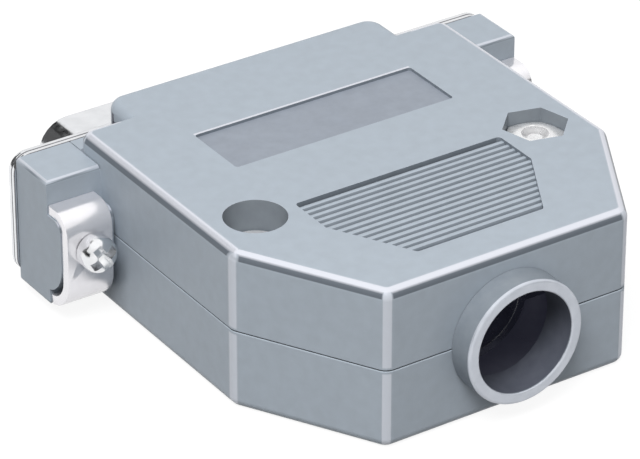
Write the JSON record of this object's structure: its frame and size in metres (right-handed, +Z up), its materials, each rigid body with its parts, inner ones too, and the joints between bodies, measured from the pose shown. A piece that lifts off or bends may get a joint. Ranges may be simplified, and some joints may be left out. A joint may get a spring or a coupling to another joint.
{
  "type": "d-sub solder connector",
  "caption": "Two-row solder-cup plug connector in a tapered two-part metallised hood with locking screws and a straight round cable outlet.",
  "frame": {"origin": "middle of the flange's mating face, on the hood's parting plane", "axes": "+X along the contact rows, +Y to the mating side, +Z up, wide contact row on the upper side"},
  "size_m": [0.053, 0.0508, 0.0162],
  "materials": {
    "hood": "metallised satin, bluish silver grey",
    "plated_clip": "bright nickel plate on bent sheet",
    "plated_screw": "bright zinc plate",
    "tinned_shell": "bright tin plate on drawn sheet",
    "insulator": "black glass-filled plastic",
    "clamp_strip": "plated strip",
    "gold_contact": "gold flash on brass"
  },
  "bodies": {
    "connector": {"upper_hood": "hood", "lower_hood": "hood", "cable_bushing": "hood", "left_clip": "plated_clip", "right_clip": "plated_clip", "hood_screw_left": "plated_screw", "hood_screw_right": "plated_screw", "hood_nut_left": "plated_screw", "hood_nut_right": "plated_screw", "clamp_screw_left": "plated_screw", "clamp_screw_right": "plated_screw", "front_shell": "tinned_shell", "rear_shell": "tinned_shell", "front_insulator": "insulator", "rear_insulator": "insulator", "upper_cable_clamp": "clamp_strip", "lower_cable_clamp": "clamp_strip", "contact_01": "gold_contact", "contact_02": "gold_contact", "contact_03": "gold_contact", "contact_04": "gold_contact", "contact_05": "gold_contact", "contact_06": "gold_contact", "contact_07": "gold_contact", "contact_08": "gold_contact", "contact_09": "gold_contact", "contact_10": "gold_contact", "contact_11": "gold_contact", "contact_12": "gold_contact", "contact_13": "gold_contact", "contact_14": "gold_contact", "contact_15": "gold_contact", "contact_16": "gold_contact", "contact_17": "gold_contact", "contact_18": "gold_contact", "contact_19": "gold_contact", "contact_20": "gold_contact", "contact_21": "gold_contact", "contact_22": "gold_contact", "contact_23": "gold_contact", "contact_24": "gold_contact", "contact_25": "gold_contact"},
    "left_screw": {"left_locking_screw": "plated_screw"},
    "right_screw": {"right_locking_screw": "plated_screw"}
  },
  "joints": [
    {"name": "left_locking_screw_turn", "type": "hinge", "parent": "connector", "child": "left_screw", "pos_m": [-0.02352, 0, 0], "axis": [0, 1, 0], "continuous": true},
    {"name": "right_locking_screw_turn", "type": "hinge", "parent": "connector", "child": "right_screw", "pos_m": [0.02352, 0, 0], "axis": [0, 1, 0], "continuous": true}
  ]
}
